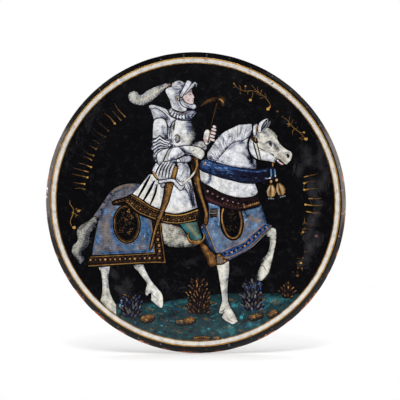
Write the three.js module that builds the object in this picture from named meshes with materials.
// Painted enamel roundel: one thin copper plate, enamelled on both sides.
// Millimetres. +Z is up, the picture faces -Y, and the back rim lies on the plane y = 0.
// The origin is the centre of the back rim, where the plate meets the wall it hangs on.

import * as THREE from 'three';
import { mergeVertices } from 'three/addons/utils/BufferGeometryUtils.js';

// Driving dimensions
const RADIUS = 110;                // mean outer radius at the edge of the plate
const OUT_OF_ROUND = 0.0055;       // the plate is hand raised: one axis is this share longer
const LONG_AXIS_DEG = 55;          // the long axis runs down to the right by this angle
const FACE_RADIUS = 105.6;         // where the gently domed face breaks to the turned-down rim
const DOME_HEIGHT = 9.0;           // front face at the centre, above the back plane
const FACE_EDGE_HEIGHT = 4.9;      // front face where the rim turn begins
const RIM_EDGE_HEIGHT = 1.7;       // front arris of the stoned edge
const WALL = 2.1;                  // copper with both enamels
const BACK_RIM_INNER = 106.4;      // flat, stoned ring that touches the wall
const BACK_RIM_OUTER = 109.5;
const EDGE_CHAMFER = 0.5;          // small break between the back ring and the edge
const HOLLOW_RADIUS = 103.6;       // where the hollow of the back begins

const SEGMENTS = 144;              // round the plate
const FACE_STEPS = 10;             // across the dome
const TURN_STEPS = 4;              // across the rounded turn of the rim
const BACK_STEPS = 7;              // across the hollow

// A shallow spherical cap of the given rise, as a height at radius r
function domeHeight(r, edgeRadius, centreHeight, edgeHeight) {
  const share = r / edgeRadius;
  return centreHeight - (centreHeight - edgeHeight) * share * share;
}

// Radii from the centre out, closer together near the rim
function radii(edgeRadius, steps) {
  const out = [];
  for (let i = 0; i <= steps; i++) {
    const t = i / steps;
    out.push(edgeRadius * Math.sin((t * Math.PI) / 2));
  }
  return out;
}

// The back: a hollow that follows the dome, then the flat ring that meets the wall
function backProfile() {
  const centre = DOME_HEIGHT - WALL;
  const edge = FACE_EDGE_HEIGHT - WALL - 0.4;
  const points = radii(HOLLOW_RADIUS, BACK_STEPS).map(
    (r) => new THREE.Vector2(r, domeHeight(r, HOLLOW_RADIUS, centre, edge)),
  );
  points.push(new THREE.Vector2((HOLLOW_RADIUS + BACK_RIM_INNER) / 2, edge * 0.42));
  points.push(new THREE.Vector2(BACK_RIM_INNER, 0));
  points.push(new THREE.Vector2(BACK_RIM_OUTER, 0));
  points.push(new THREE.Vector2(RADIUS, EDGE_CHAMFER));
  return points;
}

// The front: the arris of the edge, the rounded turn of the rim and the dome, to the centre
function frontProfile() {
  const points = [];
  const arris = new THREE.Vector2(RADIUS - 0.15, RIM_EDGE_HEIGHT);
  const shoulder = new THREE.Vector2(FACE_RADIUS + 1.9, FACE_EDGE_HEIGHT - 0.5);
  const brow = new THREE.Vector2(FACE_RADIUS, FACE_EDGE_HEIGHT);
  const turn = new THREE.QuadraticBezierCurve(arris, shoulder, brow);
  for (let i = 0; i <= TURN_STEPS; i++) {
    points.push(turn.getPoint(i / TURN_STEPS));
  }
  const face = radii(FACE_RADIUS, FACE_STEPS).slice(0, -1).reverse();
  for (const r of face) {
    points.push(new THREE.Vector2(r, domeHeight(r, FACE_RADIUS, DOME_HEIGHT, FACE_EDGE_HEIGHT)));
  }
  return points;
}

// One closed solid, turned about its own axis, then pulled slightly out of round
function plateGeometry() {
  const profile = [...backProfile(), ...frontProfile()];
  profile[0].x = 0;
  profile[profile.length - 1].x = 0;
  const turned = new THREE.LatheGeometry(profile, SEGMENTS);
  turned.deleteAttribute('normal');
  turned.deleteAttribute('uv');
  turned.rotateX(Math.PI);
  const tilt = THREE.MathUtils.degToRad(LONG_AXIS_DEG);
  turned.rotateY(-tilt);
  turned.scale(1 + OUT_OF_ROUND, 1, 1 - OUT_OF_ROUND);
  turned.rotateY(tilt);
  const merged = mergeVertices(turned, 1e-4);
  merged.computeVertexNormals();
  return merged;
}

// Black fired enamel, glossy, over copper
const enamel = new THREE.MeshStandardMaterial({
  color: '#17161a',
  roughness: 0.18,
  metalness: 0,
});

const plaque = new THREE.Mesh(plateGeometry(), enamel);
plaque.name = 'plaque';

const object = new THREE.Group();
object.add(plaque);

export default object;
